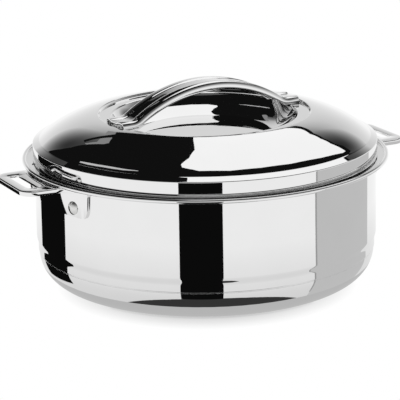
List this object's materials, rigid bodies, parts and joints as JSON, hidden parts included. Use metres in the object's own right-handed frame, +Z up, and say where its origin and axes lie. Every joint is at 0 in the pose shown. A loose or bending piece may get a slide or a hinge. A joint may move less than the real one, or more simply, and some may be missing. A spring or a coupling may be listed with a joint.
{
  "type": "insulated serving pot with lid",
  "caption": "Round double-wall polished steel serving pot with a wide rim, riveted side handles and a domed lift-off lid with a strap handle.",
  "frame": {"origin": "centre of the pot at the height of the foot it stands on", "axes": "+Z up along the pot's axis, X through the two side handles, the left handle at -X"},
  "size_m": [0.348, 0.3, 0.164],
  "materials": {
    "polished_steel": "mirror-polished stainless steel",
    "rivet_steel": "satin stainless steel",
    "foam": "rigid foam, hidden between the skins",
    "plug_plastic": "dark moulded plastic",
    "seal_rubber": "black rubber"
  },
  "bodies": {
    "pot": {"outer_shell": "polished_steel", "base_pan": "polished_steel", "inner_liner": "polished_steel", "body_insulation": "foam", "base_plug": "plug_plastic", "left_side_handle": "polished_steel", "right_side_handle": "polished_steel", "left_handle_rivets": "rivet_steel", "right_handle_rivets": "rivet_steel", "left_rivet_washers": "rivet_steel", "right_rivet_washers": "rivet_steel"},
    "lid": {"lid_shell": "polished_steel", "lid_pan": "polished_steel", "lid_insulation": "foam", "lid_seal": "seal_rubber", "lid_band_rivets": "rivet_steel", "lid_plug": "plug_plastic", "lid_handle": "polished_steel", "lid_handle_studs": "rivet_steel", "lid_handle_washers": "rivet_steel", "lid_handle_nuts": "rivet_steel"}
  },
  "joints": [
    {"name": "lid_lift", "type": "slide", "parent": "pot", "child": "lid", "axis": [0, 0, 1], "range_m": [0, 0.18]}
  ]
}
